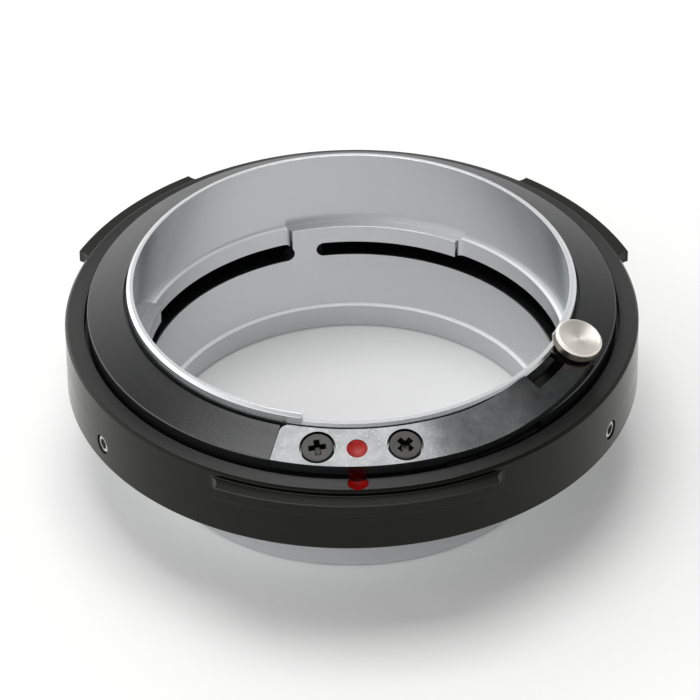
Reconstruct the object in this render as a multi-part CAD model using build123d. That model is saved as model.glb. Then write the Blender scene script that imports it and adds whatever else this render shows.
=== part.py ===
from build123d import *
import os
from math import acos, cos, degrees, radians, sin, tan

# Lens mount adapter: a plated bayonet tube, a sloped black face ring with a leaf lock and its release
# button, and an outer bayonet ring clamped round it by three grub screws.
# Millimetres and degrees. The origin is on the axis at the foot's underside, +Z points towards the
# lens, and both red index dots lie towards -Y. Angles count anticlockwise from +X, seen from the lens.

# Outer bayonet ring
RING_WALL = 1.7
RING_BOTTOM = 7.7
RING_HEIGHT = 6.2
RING_EDGE = 0.22
TAB_REACH = 1.32
TAB_DROP = 0.6
TAB_THICKNESS = 1.15
TAB_CUTTER = 1.25
TABS = ((242.7, 297.1), (20.4, 52.0), (122.8, 155.4))
INDEX_ANGLE = 270.0

# Grub screws in the outer ring's wall
GRUB_RADIUS = 0.95
GRUB_LENGTH = 1.35
GRUB_MARGIN = 0.15
GRUB_SOCKET = 0.5
GRUB_SOCKET_DEPTH = 0.7
GRUB_ANGLES = (90.0, 209.5, 331.7)
SOCKET_SIDES = 6

# Sloped face ring
FACE_WIDTH = 3.48
FACE_GAP = 0.27
FACE_RISE = 1.07
FACE_SLOPE = 22.0
FACE_EDGE = 0.12
LIP_GAP = 0.5
LIP_GAP_DEPTH = 1.1
LAND_DROP = 0.9
SEAT_WIDTH = 0.7
SEAT_HEIGHT = 0.8
SKIRT_HEIGHT = 0.8
SKIRT_INSET = 0.4
GROOVE_DEPTH = 0.9
GROOVE_MARGIN = 0.15

# Bayonet tube
THROAT_RADIUS = 18.95
TUBE_WALL = 0.6
LIP_RISE = 3.3
LIP_CHAMFER = 0.28
RIM_DROP = 0.7
RIM_SECTOR = (256.3, 333.9)
LUG_DEPTH = 0.95
LUG_THICKNESS = 1.7
ENTRY_LEDGE = 0.15
SLOT_HEIGHT = 1.4
SLOT_LIFT = 0.25
ENTRIES = ((4.6, 58.0), (106.1, 158.7), (242.9, 296.9))
SLOTS = ((4.2, 99.1), (105.5, 201.0), (242.5, 339.0))
SHOULDER_REACH = 2.65
SHOULDER_THICKNESS = 1.0
NECK_LENGTH = 1.9
FOOT_INSET = 1.1
FOOT_WALL = 1.0
FOOT_HEIGHT = 2.5
FOOT_EDGE = 0.25
LEDGE_WIDTH = 0.3
LEDGE_DROP = 0.2

# Leaf spring of the lens lock
LEAF_START = 251.3
LEAF_THICKNESS = 1.0
LEAF_GAP = 0.1
LEAF_CORNER = 0.8
ARM_START = 289.0
ARM_THICKNESS = 0.6
BEND_PLACE = 300.5
BEND_ANGLE = 4.4
BEND_OVERLAP = 1.0
NARROW_START = 311.0
NARROW_INSET = 0.25
NOTCH_SECTOR = (317.5, 328.7)
NOTCH_DEPTH = 1.6
POCKET_GAP = 0.05
POCKET_END_GAP = 0.2

# Release button
BUTTON_RADIUS = 2.085
BUTTON_HEIGHT = 0.97
BUTTON_EDGE = 0.22
BUTTON_DISH = 0.34
BUTTON_INSET = 1.43
BUTTON_ANGLE = 334.4
BUTTON_SWING = 3.6
NECK_RADIUS = 1.3
NECK_HEIGHT = 0.3
SHANK_RADIUS = 0.8
PEEN_RADIUS = 1.1
PEEN_HEIGHT = 0.25
SWING_STEPS = 2

# Cross-head screws through the leaf's root
SCREW_ANGLES = (261.0, 281.0)
SCREW_SHARE = 0.518
SCREW_HEAD_RADIUS = 1.3
SCREW_HEAD_HEIGHT = 0.5
SCREW_SINK = 0.12
SCREW_SHANK_RADIUS = 0.7
SCREW_LENGTH = 2.4
CROSS_LENGTH = 1.5
CROSS_WIDTH = 0.4
CROSS_DEPTH = 0.34
COUNTERBORE_GAP = 0.24

# Painted index dots, drilled dimples filled with paint
DOT_RADIUS = 0.88
DOT_DEPTH = 0.35
DOT_FILL = 0.2
RING_DOT_SHARE = 0.441

# Clearances
FIT = 0.03
RUNNING_GAP = 0.1
OVERCUT = 1.0
FULL_TURN = 360.0
QUARTER_TURN = 90.0

# Sizes that follow from the driving ones
TUBE_RADIUS = THROAT_RADIUS + TUBE_WALL
FACE_RADIUS = TUBE_RADIUS + FACE_WIDTH
RING_BORE = FACE_RADIUS + FACE_GAP
WALL_RADIUS = RING_BORE + RING_WALL
RING_TOP = RING_BOTTOM + RING_HEIGHT
RING_DOT_PLACE = RING_BORE + RING_DOT_SHARE * RING_WALL
SEAT_RADIUS = RING_BORE + SEAT_WIDTH
SEAT_TOP = RING_BOTTOM + SEAT_HEIGHT
GRUB_HEIGHT = SEAT_TOP + GRUB_RADIUS + GRUB_MARGIN
FACE_TOP = RING_TOP + FACE_RISE
LUG_RADIUS = THROAT_RADIUS - LUG_DEPTH
LIP_TOP = RING_TOP + LIP_RISE
RIM_TOP = LIP_TOP - RIM_DROP
SHOULDER_TOP = RING_BOTTOM - SKIRT_HEIGHT
SLOT_BOTTOM = SHOULDER_TOP + SLOT_LIFT
SLOT_TOP = SLOT_BOTTOM + SLOT_HEIGHT
LUG_TOP = SLOT_TOP + LUG_THICKNESS
NECK_BOTTOM = SHOULDER_TOP - SHOULDER_THICKNESS - NECK_LENGTH
FOOT_RADIUS = THROAT_RADIUS - FOOT_INSET
FOOT_BORE = FOOT_RADIUS - FOOT_WALL
LEAF_INNER = TUBE_RADIUS + LEAF_GAP
ARM_OUTER = FACE_RADIUS - NARROW_INSET
BUTTON_PLACE = LEAF_INNER + BUTTON_INSET
LEAF_END_RADIUS = BUTTON_PLACE - LEAF_INNER
SCREW_PLACE = LEAF_INNER + SCREW_SHARE * (FACE_RADIUS - LEAF_INNER)
SCREW_HOLE = SCREW_SHANK_RADIUS + FIT
COUNTERBORE = SCREW_HEAD_RADIUS + COUNTERBORE_GAP


def leaf_height(radius, depth=0.0):
    """Height of the sloped face at a radius, or of a surface that lies so deep under it."""
    return FACE_TOP + (FACE_RADIUS - radius) * tan(radians(FACE_SLOPE)) - depth / cos(radians(FACE_SLOPE))


def turned(outline, sector=(0.0, FULL_TURN)):
    """Solid of revolution of a (radius, height) outline, whole or over a sector of angles."""
    start, end = sector
    section = make_face(Plane.XZ * Polyline(*outline, close=True))
    return revolve(Rot(0, 0, start) * section, Axis.Z, end - start)


def band(inner, outer, bottom, top, sector=(0.0, FULL_TURN)):
    """Plain ring, or an arc of one."""
    return turned([(inner, bottom), (outer, bottom), (outer, top), (inner, top)], sector)


def sloped_band(inner, outer, low, high, sector):
    """Arc of a conical layer between two depths under the sloped face."""
    return turned([(inner, leaf_height(inner, low)), (outer, leaf_height(outer, low)),
                   (outer, leaf_height(outer, high)), (inner, leaf_height(inner, high))], sector)


def polar(radius, angle, height):
    """Point at a radius, angle and height."""
    return Vector(radius * cos(radians(angle)), radius * sin(radians(angle)), height)


def sloped_plane(radius, angle):
    """Plane on the sloped face: x along rising angles, z square to the face."""
    out = polar(sin(radians(FACE_SLOPE)), angle, cos(radians(FACE_SLOPE)))
    along = polar(1, angle + QUARTER_TURN, 0)
    return Plane(origin=polar(radius, angle, leaf_height(radius)), x_dir=along, z_dir=out)


def post(plane, radius, top, bottom):
    """Cylinder along a plane's normal, between two heights over the plane."""
    return plane * Pos(0, 0, (top + bottom) / 2) * Cylinder(radius, top - bottom)


def radial_post(radius, angle, height, inner, outer):
    """Cylinder that points straight out from the axis."""
    plane = Plane(origin=polar(inner, angle, height), z_dir=polar(1, angle, 0))
    return post(plane, radius, outer - inner, 0)


# The leaf's arm springs up about a level radial line, and the button goes down about the same line.
BEND_AXIS = Axis(polar(BUTTON_PLACE, BEND_PLACE, leaf_height(BUTTON_PLACE)), polar(1, BEND_PLACE, 0))
BUTTON_SEAT = sloped_plane(BUTTON_PLACE, BUTTON_ANGLE)


def sprung(shape, pressed=0.0):
    """Shape drawn on the flat arm, moved to the arm's sprung place or part of the way down again."""
    return shape.rotate(BEND_AXIS, BEND_ANGLE - pressed)


def dot_post(plane, depth, top):
    """Cylinder of an index dot, from a depth under the surface up to a height over it."""
    return post(plane, DOT_RADIUS, top, -depth)


def tab(sector):
    """One outward bayonet tab, its ends run out to the wall by a round cutter."""
    tip = WALL_RADIUS + TAB_REACH
    cutter_place = WALL_RADIUS + TAB_CUTTER + FIT
    # Cosine rule: angle between the cutter's centre and the tab's tip, seen from the axis
    run_out = degrees(acos((tip ** 2 + cutter_place ** 2 - TAB_CUTTER ** 2) / (2 * tip * cutter_place)))
    start, end = sector[0] - run_out, sector[1] + run_out
    top = RING_TOP - TAB_DROP
    bottom = top - TAB_THICKNESS
    root = WALL_RADIUS - RING_WALL / 2
    blank = band(root, tip, bottom, top, (start, end))
    for angle in (start, end):
        centre = polar(cutter_place, angle, (top + bottom) / 2)
        blank -= Pos(centre) * Cylinder(TAB_CUTTER, TAB_THICKNESS + OVERCUT)
    return blank


def ring_dot_plane():
    """Plane of the outer ring's index dot."""
    return Plane(origin=polar(RING_DOT_PLACE, INDEX_ANGLE, RING_TOP))


def outer_ring():
    """Outer bayonet ring with its tabs, tapped holes and dot dimple."""
    ring = turned([(RING_BORE, SEAT_TOP), (RING_BORE, RING_TOP), (WALL_RADIUS - RING_EDGE, RING_TOP),
                   (WALL_RADIUS, RING_TOP - RING_EDGE), (WALL_RADIUS, RING_BOTTOM + RING_EDGE),
                   (WALL_RADIUS - RING_EDGE, RING_BOTTOM), (SEAT_RADIUS + FIT, RING_BOTTOM),
                   (SEAT_RADIUS + FIT, SEAT_TOP)])
    for sector in TABS:
        ring += tab(sector)
    for angle in GRUB_ANGLES:
        ring -= radial_post(GRUB_RADIUS, angle, GRUB_HEIGHT, RING_BORE - OVERCUT, WALL_RADIUS + OVERCUT)
    return ring - dot_post(ring_dot_plane(), DOT_DEPTH, OVERCUT)


def ring_index_dot():
    """Paint in the outer ring's dimple, kept inside the ring's own bore edge."""
    dot = dot_post(ring_dot_plane(), DOT_DEPTH, DOT_FILL - DOT_DEPTH)
    return dot - Pos(0, 0, RING_TOP) * Cylinder(RING_BORE, OVERCUT)


def grub_screws():
    """Headless screws that reach the face ring's land, each with a hexagon socket."""
    screws = []
    for angle in GRUB_ANGLES:
        plane = Plane(origin=polar(RING_BORE - FIT, angle, GRUB_HEIGHT), z_dir=polar(1, angle, 0))
        socket = plane * Pos(0, 0, GRUB_LENGTH) * RegularPolygon(GRUB_SOCKET, SOCKET_SIDES)
        screws.append(post(plane, GRUB_RADIUS - FIT, GRUB_LENGTH, 0) - extrude(socket, -GRUB_SOCKET_DEPTH))
    return Compound(children=screws)


def face_ring():
    """Black ring with the sloped face, the leaf's pocket, and the land for the outer ring."""
    bore = TUBE_RADIUS + FIT
    mouth = TUBE_RADIUS + LIP_GAP
    land = RING_BORE - FIT
    skirt = RING_BORE - SKIRT_INSET
    shelf = leaf_height(mouth) - LIP_GAP_DEPTH
    ring = turned([(bore, SHOULDER_TOP), (bore, shelf), (mouth, shelf), (mouth, leaf_height(mouth)),
                   (FACE_RADIUS - FACE_EDGE, leaf_height(FACE_RADIUS - FACE_EDGE)),
                   (FACE_RADIUS, FACE_TOP - FACE_EDGE), (FACE_RADIUS, RING_TOP - LAND_DROP),
                   (land, RING_TOP - LAND_DROP), (land, SEAT_TOP), (SEAT_RADIUS, SEAT_TOP),
                   (SEAT_RADIUS, RING_BOTTOM), (skirt, RING_BOTTOM), (skirt, SHOULDER_TOP)])
    # Dark groove behind the tube's slots
    ring -= band(bore - OVERCUT, bore + GROOVE_DEPTH, SLOT_BOTTOM - GROOVE_MARGIN, SLOT_TOP + GROOVE_MARGIN)
    # Pocket that seats the leaf's root and takes its pressed arm. A thin rim stays outside the arm.
    depth = LEAF_THICKNESS + FIT
    gap_angle = degrees(POCKET_GAP / FACE_RADIUS)
    inside = bore - OVERCUT
    ring -= sloped_band(inside, FACE_RADIUS + OVERCUT, depth, -OVERCUT,
                        (LEAF_START - gap_angle, NARROW_START))
    ring -= sloped_band(inside, ARM_OUTER + POCKET_GAP, depth, -OVERCUT, (NARROW_START, BUTTON_ANGLE))
    ring -= post(BUTTON_SEAT, LEAF_END_RADIUS + POCKET_END_GAP, OVERCUT, -depth)
    for angle in SCREW_ANGLES:
        ring -= post(sloped_plane(SCREW_PLACE, angle), SCREW_HOLE, OVERCUT, -SCREW_LENGTH - RUNNING_GAP)
    return ring


def bayonet_tube():
    """Plated tube: lip, throat, three lugs over through slots, seating shoulder and foot."""
    ledge = FOOT_HEIGHT - LEDGE_DROP
    shoulder = TUBE_RADIUS + SHOULDER_REACH
    shoulder_bottom = SHOULDER_TOP - SHOULDER_THICKNESS
    tube = turned([
        (THROAT_RADIUS + LIP_CHAMFER, LIP_TOP), (TUBE_RADIUS, LIP_TOP), (TUBE_RADIUS, SHOULDER_TOP),
        (shoulder, SHOULDER_TOP), (shoulder, shoulder_bottom), (TUBE_RADIUS, shoulder_bottom),
        (TUBE_RADIUS, NECK_BOTTOM),
        (FOOT_RADIUS, FOOT_HEIGHT), (FOOT_RADIUS, FOOT_EDGE), (FOOT_RADIUS - FOOT_EDGE, 0),
        (FOOT_BORE, 0), (FOOT_BORE, ledge), (FOOT_BORE + LEDGE_WIDTH, ledge), (LUG_RADIUS, SLOT_BOTTOM),
        (LUG_RADIUS, LUG_TOP), (THROAT_RADIUS, LUG_TOP), (THROAT_RADIUS, LIP_TOP - LIP_CHAMFER)])
    # The lip is cut down over the sector that the lens's lock lug sweeps, with the same chamfer inside
    tube -= band(THROAT_RADIUS - OVERCUT, TUBE_RADIUS + OVERCUT, RIM_TOP, LIP_TOP + OVERCUT, RIM_SECTOR)
    tube -= turned([(THROAT_RADIUS - LIP_CHAMFER, RIM_TOP - 2 * LIP_CHAMFER),
                    (THROAT_RADIUS + 2 * LIP_CHAMFER, RIM_TOP + LIP_CHAMFER),
                    (THROAT_RADIUS - LIP_CHAMFER, RIM_TOP + LIP_CHAMFER)], RIM_SECTOR)
    for sector in ENTRIES:
        tube -= lens_entry(sector)
    for sector in SLOTS:
        tube -= through_slot(sector)
    # Scallop in the lip's outside that clears the button's head all the way down
    for step in range(SWING_STEPS + 1):
        head = post(BUTTON_SEAT, BUTTON_RADIUS + RUNNING_GAP, NECK_HEIGHT + BUTTON_HEIGHT + OVERCUT,
                    NECK_HEIGHT - RUNNING_GAP)
        tube -= sprung(head, BUTTON_SWING * step / SWING_STEPS)
    return tube


def lens_entry(sector):
    """Gap between two lugs, milled from above by a cutter that leaves its round at both ends."""
    wall = THROAT_RADIUS - ENTRY_LEDGE
    cutter = wall - LUG_RADIUS
    turn = degrees(cutter / LUG_RADIUS)
    start, end = sector[0] + turn, sector[1] - turn
    bottom, top = SLOT_TOP - SLOT_HEIGHT / 2, LUG_TOP + OVERCUT
    entry = band(LUG_RADIUS - OVERCUT, wall, bottom, top, (start, end))
    for angle in (start, end):
        entry += Pos(polar(LUG_RADIUS, angle, (bottom + top) / 2)) * Cylinder(cutter, top - bottom)
    return entry


def through_slot(sector):
    """Slot through the tube's wall with round ends, as an end mill leaves it."""
    end_radius = SLOT_HEIGHT / 2
    end_angle = degrees(end_radius / LUG_RADIUS)
    inner = LUG_RADIUS - OVERCUT
    outer = TUBE_RADIUS + OVERCUT
    start, end = sector[0] + end_angle, sector[1] - end_angle
    slot = band(inner, outer, SLOT_BOTTOM, SLOT_TOP, (start, end))
    for angle in (start, end):
        slot += radial_post(end_radius, angle, SLOT_BOTTOM + end_radius, inner, outer)
    return slot


def lock_spring():
    """Leaf with a screwed root and a thinner arm, sprung up, with the lens's notch and the button's hole."""
    inside = LEAF_INNER - OVERCUT
    outside = FACE_RADIUS + OVERCUT
    root = sloped_band(LEAF_INNER, FACE_RADIUS, LEAF_THICKNESS, 0, (LEAF_START, BEND_PLACE))
    root -= sloped_band(inside, outside, LEAF_THICKNESS + OVERCUT, ARM_THICKNESS,
                        (ARM_START, BEND_PLACE + OVERCUT))
    for angle in SCREW_ANGLES:
        plane = sloped_plane(SCREW_PLACE, angle)
        root -= post(plane, SCREW_HOLE, OVERCUT, -LEAF_THICKNESS - OVERCUT)
        root -= post(plane, COUNTERBORE, OVERCUT, -SCREW_SINK - SCREW_HEAD_HEIGHT)
    root -= dot_post(leaf_dot_plane(), DOT_DEPTH, OVERCUT)
    # Rounded inner corner at the root's end
    reach = LEAF_CORNER + OVERCUT
    corner = Pos(LEAF_CORNER - reach / 2, reach / 2 - LEAF_CORNER) * Box(reach, reach, 2 * reach)
    corner -= Pos(LEAF_CORNER, -LEAF_CORNER) * Cylinder(LEAF_CORNER, 2 * reach)
    root -= sloped_plane(LEAF_INNER, LEAF_START) * corner
    # The arm reaches back past the bend, so that its end can be cut square there
    tip = BUTTON_ANGLE + degrees(LEAF_END_RADIUS / LEAF_INNER)
    arm = sloped_band(LEAF_INNER, FACE_RADIUS, ARM_THICKNESS, 0, (BEND_PLACE - BEND_OVERLAP, tip))
    under, over = ARM_THICKNESS + OVERCUT, -OVERCUT
    arm -= sloped_band(ARM_OUTER, outside, under, over, (NARROW_START, tip + OVERCUT))
    # Rounded tip under the button
    waste = sloped_band(inside, FACE_RADIUS, under, over, (BUTTON_ANGLE, tip + OVERCUT))
    arm -= waste - post(BUTTON_SEAT, LEAF_END_RADIUS, 2 * OVERCUT, -ARM_THICKNESS - 2 * OVERCUT)
    # Notch that catches the lens's lock lug
    arm -= sloped_band(inside, LEAF_INNER + NOTCH_DEPTH, under, over, NOTCH_SECTOR)
    arm -= post(BUTTON_SEAT, SHANK_RADIUS + FIT, OVERCUT, -ARM_THICKNESS - OVERCUT)
    bend = Plane(origin=BEND_AXIS.position, x_dir=polar(1, BEND_PLACE + QUARTER_TURN, 0), z_dir=(0, 0, 1))
    behind = bend * Pos(-WALL_RADIUS / 2, 0, 0) * Box(WALL_RADIUS, RING_HEIGHT, RING_HEIGHT)
    return root + (sprung(arm) - behind)


def leaf_dot_plane():
    """Plane of the leaf's index dot."""
    return sloped_plane(SCREW_PLACE, INDEX_ANGLE)


def plate_index_dot():
    """Paint in the leaf's dimple."""
    return dot_post(leaf_dot_plane(), DOT_DEPTH, DOT_FILL - DOT_DEPTH)


def plate_screws():
    """Cross-head screws, sunk a little under the leaf's top."""
    screws = []
    for angle in SCREW_ANGLES:
        plane = sloped_plane(SCREW_PLACE, angle)
        seat = -SCREW_SINK - SCREW_HEAD_HEIGHT
        screw = post(plane, SCREW_HEAD_RADIUS, -SCREW_SINK, seat)
        screw += post(plane, SCREW_SHANK_RADIUS, seat, -SCREW_LENGTH)
        recess = Box(CROSS_LENGTH, CROSS_WIDTH, CROSS_DEPTH) + Box(CROSS_WIDTH, CROSS_LENGTH, CROSS_DEPTH)
        screws.append(screw - plane * Pos(0, 0, -SCREW_SINK - CROSS_DEPTH / 2) * recess)
    return Compound(children=screws)


def release_button():
    """Turned button with a dished top, seated on the arm by its neck and riveted under it."""
    top = NECK_HEIGHT + BUTTON_HEIGHT
    underside = -ARM_THICKNESS
    riveted = underside - PEEN_HEIGHT
    outline = [(0, top - BUTTON_DISH), (BUTTON_RADIUS - BUTTON_EDGE, top),
               (BUTTON_RADIUS, top - BUTTON_EDGE), (BUTTON_RADIUS, NECK_HEIGHT),
               (NECK_RADIUS, NECK_HEIGHT), (NECK_RADIUS, 0), (SHANK_RADIUS, 0),
               (SHANK_RADIUS, underside), (PEEN_RADIUS, underside), (PEEN_RADIUS, riveted), (0, riveted)]
    return sprung(BUTTON_SEAT * turned(outline))


NODES = (outer_ring, ring_index_dot, grub_screws, face_ring, bayonet_tube, lock_spring, plate_index_dot,
         plate_screws, release_button)

os.makedirs("parts", exist_ok=True)
for node in NODES:
    export_step(node(), f"parts/{node.__name__}.step")
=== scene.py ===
"""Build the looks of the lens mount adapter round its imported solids, and set up its picture."""

from __future__ import annotations

import logging
from collections.abc import Callable, Iterable, Sequence
from dataclasses import dataclass, replace
from enum import Enum
from math import acos, ceil, cos, degrees, radians, sin, tan

import bmesh
import bpy
from mathutils import Matrix, Vector

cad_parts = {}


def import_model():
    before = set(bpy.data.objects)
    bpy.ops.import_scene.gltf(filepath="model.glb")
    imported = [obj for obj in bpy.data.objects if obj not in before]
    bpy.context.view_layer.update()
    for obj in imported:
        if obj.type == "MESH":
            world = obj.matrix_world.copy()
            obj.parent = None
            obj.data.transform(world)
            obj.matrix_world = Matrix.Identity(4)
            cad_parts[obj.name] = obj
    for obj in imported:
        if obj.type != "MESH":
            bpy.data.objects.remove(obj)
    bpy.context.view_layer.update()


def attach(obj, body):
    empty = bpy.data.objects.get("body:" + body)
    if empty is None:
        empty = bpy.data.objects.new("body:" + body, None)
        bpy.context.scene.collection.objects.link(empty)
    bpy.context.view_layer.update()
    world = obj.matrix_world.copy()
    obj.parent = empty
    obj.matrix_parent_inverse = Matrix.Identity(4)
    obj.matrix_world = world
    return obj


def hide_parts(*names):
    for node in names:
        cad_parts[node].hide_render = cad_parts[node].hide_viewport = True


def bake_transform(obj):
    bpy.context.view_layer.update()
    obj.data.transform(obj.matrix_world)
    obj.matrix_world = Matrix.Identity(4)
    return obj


LOG = logging.getLogger("adapter")
MM = 0.001
FULL_TURN = 360.0
QUARTER_TURN = 90.0
OVERCUT = 1.0
SAME_POINT = 0.001
ROUND_SIDES = 64
FINE_SIDES = 96

Mesh = bmesh.types.BMesh
Face = bmesh.types.BMFace
Piece = bpy.types.Object
Socket = bpy.types.NodeSocket
Tree = bpy.types.NodeTree
Node = bpy.types.Node
Material = bpy.types.Material
Inputs = dict[str | int, object]
Sector = tuple[float, float]
Colour = tuple[float, float, float]
WHOLE: Sector = (0.0, FULL_TURN)
ACROSS = 0.25
UNIT: Sector = (0.0, 1.0)
MIDDLE: Sector = (0.3, 0.7)
NEAR_MIDDLE: Sector = (0.35, 0.65)
DUST_SPACING = 0.0011
MARK_DEPTH = 0.02 * MM
GRAIN_DEPTH = 0.03 * MM


class Body(Enum):
    """Rigid bodies that the pieces ride on."""

    MAIN = "main"
    BUTTON = "button"


class Slot(Enum):
    """Material slots of the record."""

    PLATED = "plated"
    BLACK_FACE = "black_face"
    BLACK_RING = "black_ring"
    SPRING = "spring_steel"
    SCREW = "screw_steel"
    PAINT = "red_paint"
    BUTTON = "button_plate"


@dataclass(frozen=True)
class Corner:
    """A corner of a turned outline, in millimetres, with the radius that breaks it."""

    radius: float
    height: float
    broken: float = 0.0


@dataclass(frozen=True)
class Layout:
    """Sizes that more than one piece shares, in millimetres and degrees."""

    throat: float = 18.95
    tube: float = 19.55
    face: float = 23.03
    face_top: float = 14.97
    face_slope: float = 22.0
    ring_bore: float = 23.3
    wall: float = 24.99
    ring_bottom: float = 7.7
    ring_top: float = 13.9
    seat_radius: float = 24.0
    seat_top: float = 8.5
    shoulder_top: float = 6.9
    slot_bottom: float = 7.15
    slot_top: float = 8.55
    leaf_inner: float = 19.65
    leaf_start: float = 251.3
    taper_start: float = 302.0
    taper_shift: float = 1.6
    taper_sides: int = 480
    leaf_thickness: float = 1.0
    arm_thickness: float = 0.6
    bend_place: float = 300.5
    bend_angle: float = 4.4
    button_place: float = 21.08
    button_angle: float = 334.4
    button_swing: float = 3.6
    screw_place: float = 21.4
    screw_angles: tuple[float, float] = (261.0, 281.0)
    index_angle: float = 270.0
    ring_dot_place: float = 23.93
    dot_radius: float = 0.88
    dot_depth: float = 0.5
    grub_height: float = 9.6
    grub_angles: tuple[float, ...] = (90.0, 209.5, 331.7)
    fit: float = 0.03

    def cone(self, radius: float, depth: float = 0.0) -> float:
        """Height of the sloped face at a radius, or of a layer so deep under it.

        Args:
            radius: Distance from the axis.
            depth: Depth square to the face.

        Returns:
            The height in millimetres.
        """
        slope = radians(self.face_slope)
        return self.face_top + (self.face - radius) * tan(slope) - depth / cos(slope)

    def layer(self, inner: float, outer: float, low: float, high: float) -> list[Corner]:
        """Outline of a conical layer between two depths under the sloped face.

        Args:
            inner: Inner radius.
            outer: Outer radius.
            low: Depth of the underside.
            high: Depth of the top.

        Returns:
            The four corners.
        """
        return [Corner(inner, self.cone(inner, low)), Corner(outer, self.cone(outer, low)),
                Corner(outer, self.cone(outer, high)), Corner(inner, self.cone(inner, high))]

    def seat(self, radius: float, angle: float) -> Matrix:
        """Place on the sloped face, with x along rising angles and z square to the face.

        Args:
            radius: Distance from the axis.
            angle: Angle round the axis.

        Returns:
            The placing matrix.
        """
        slope = radians(self.face_slope)
        out = polar(sin(slope), angle, cos(slope)).normalized()
        along = polar(1.0, angle + QUARTER_TURN, 0.0).normalized()
        return placed(polar(radius, angle, self.cone(radius)), along, out)

    def taper(self, gap: float, low: float, high: float) -> Mesh:
        """Round bar whose side the tapering arm follows, set off the axis.

        Args:
            gap: Clearance outside the arm.
            low: Bottom of the bar.
            high: Top of the bar.

        Returns:
            The closed mesh.
        """
        centre = polar(self.taper_shift, self.taper_start, 0.0)
        return rod(Matrix.Translation(centre), self.face - self.taper_shift + gap, high, low,
                   self.taper_sides)

    def bent(self, share: float) -> Matrix:
        """Turn about the leaf's bend line.

        Args:
            share: Share of the leaf's spring angle.

        Returns:
            The turning matrix.
        """
        centre = polar(self.button_place, self.bend_place, self.cone(self.button_place))
        line = polar(1.0, self.bend_place, 0.0)
        turn = Matrix.Rotation(radians(self.bend_angle * share), 4, line.normalized())
        return Matrix.Translation(centre) @ turn @ Matrix.Translation(-centre)


def polar(radius: float, angle: float, height: float) -> Vector:
    """Point in metres from a radius, angle and height in millimetres and degrees."""
    turn = radians(angle)
    return Vector((radius * cos(turn), radius * sin(turn), height)) * MM


def placed(origin: Vector, along: Vector, out: Vector) -> Matrix:
    """Matrix with its x axis along one direction and its z axis along another.

    Args:
        origin: The matrix's origin.
        along: Unit x axis.
        out: Unit z axis, square to the x axis.

    Returns:
        The placing matrix.
    """
    matrix = Matrix((along, out.cross(along), out)).transposed().to_4x4()
    matrix.translation = origin
    return matrix


def radial(radius: float, angle: float, height: float) -> Matrix:
    """Place whose z axis points straight out from the axis."""
    along = polar(1.0, angle + QUARTER_TURN, 0.0).normalized()
    return placed(polar(radius, angle, height), along, polar(1.0, angle, 0.0).normalized())


def box(inner: float, outer: float, low: float, high: float) -> list[Corner]:
    """Outline of a square section between two radii and two heights."""
    return [Corner(inner, low), Corner(outer, low), Corner(outer, high), Corner(inner, high)]


def bevel(mesh: Mesh, parts: Sequence[object], width: float, segments: int, affect: str = "EDGES",
          clamp: bool = False) -> None:
    """Break some edges or corners of a mesh.

    Args:
        mesh: The mesh.
        parts: Its edges or corners to break.
        width: Width of the break in millimetres.
        segments: Segments of the break.
        affect: EDGES or VERTICES.
        clamp: Whether breaks may not run over each other.
    """
    bmesh.ops.bevel(mesh, geom=parts, offset=width * MM, offset_type="OFFSET", segments=segments, profile=0.5,
                    affect=affect, material=-1, clamp_overlap=clamp)


def turned(outline: Sequence[Corner], sector: Sector = WHOLE, steps: int = 360,
           round_steps: int = 3) -> Mesh:
    """Turn a closed outline about the axis, over the whole circle or a sector.

    Args:
        outline: Corners of the section.
        sector: First and last angle.
        steps: Number of steps of the turn.
        round_steps: Segments of each broken corner.

    Returns:
        The closed mesh.
    """
    mesh = bmesh.new()
    verts = [mesh.verts.new((corner.radius * MM, 0.0, corner.height * MM)) for corner in outline]
    mesh.faces.new(verts)
    for amount in sorted({corner.broken for corner in outline if corner.broken > 0}):
        chosen = [vert for vert, corner in zip(verts, outline) if corner.broken == amount]
        bevel(mesh, chosen, amount, round_steps, "VERTICES")
    bmesh.ops.delete(mesh, geom=mesh.faces[:], context="FACES_ONLY")
    start, end = sector
    bmesh.ops.rotate(mesh, verts=mesh.verts[:], cent=(0, 0, 0),
                     matrix=Matrix.Rotation(radians(start), 3, "Z"))
    whole = end - start >= FULL_TURN
    bmesh.ops.spin(mesh, geom=mesh.verts[:] + mesh.edges[:], cent=(0, 0, 0), axis=(0, 0, 1),
                   angle=radians(end - start), steps=steps, use_merge=whole)
    return closed(mesh)


def closed(mesh: Mesh) -> Mesh:
    """Merge a mesh's doubles, fill its open ends and point its faces outwards.

    Args:
        mesh: The mesh, which is changed.

    Returns:
        The same mesh.
    """
    bmesh.ops.remove_doubles(mesh, verts=mesh.verts[:], dist=SAME_POINT * MM)
    edges = [edge for edge in mesh.edges if edge.is_boundary]
    if edges:
        bmesh.ops.holes_fill(mesh, edges=edges, sides=0)
    bmesh.ops.recalc_face_normals(mesh, faces=mesh.faces[:])
    return mesh


def rod(matrix: Matrix, radius: float, top: float, bottom: float, segments: int = ROUND_SIDES,
        foot_radius: float | None = None) -> Mesh:
    """Closed cylinder or cone along a placing matrix's z axis.

    Args:
        matrix: Place of the rod's origin and axis.
        radius: Radius at the top.
        top: Height of the top over the origin.
        bottom: Height of the bottom over the origin.
        segments: Sides of the circle.
        foot_radius: Radius at the bottom, where it differs.

    Returns:
        The closed mesh.
    """
    mesh = bmesh.new()
    centre = Matrix.Translation((0, 0, (top + bottom) / 2 * MM))
    low = radius if foot_radius is None else foot_radius
    bmesh.ops.create_cone(mesh, cap_ends=True, segments=segments, radius1=low * MM, radius2=radius * MM,
                          depth=(top - bottom) * MM, matrix=matrix @ centre)
    return mesh


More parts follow.
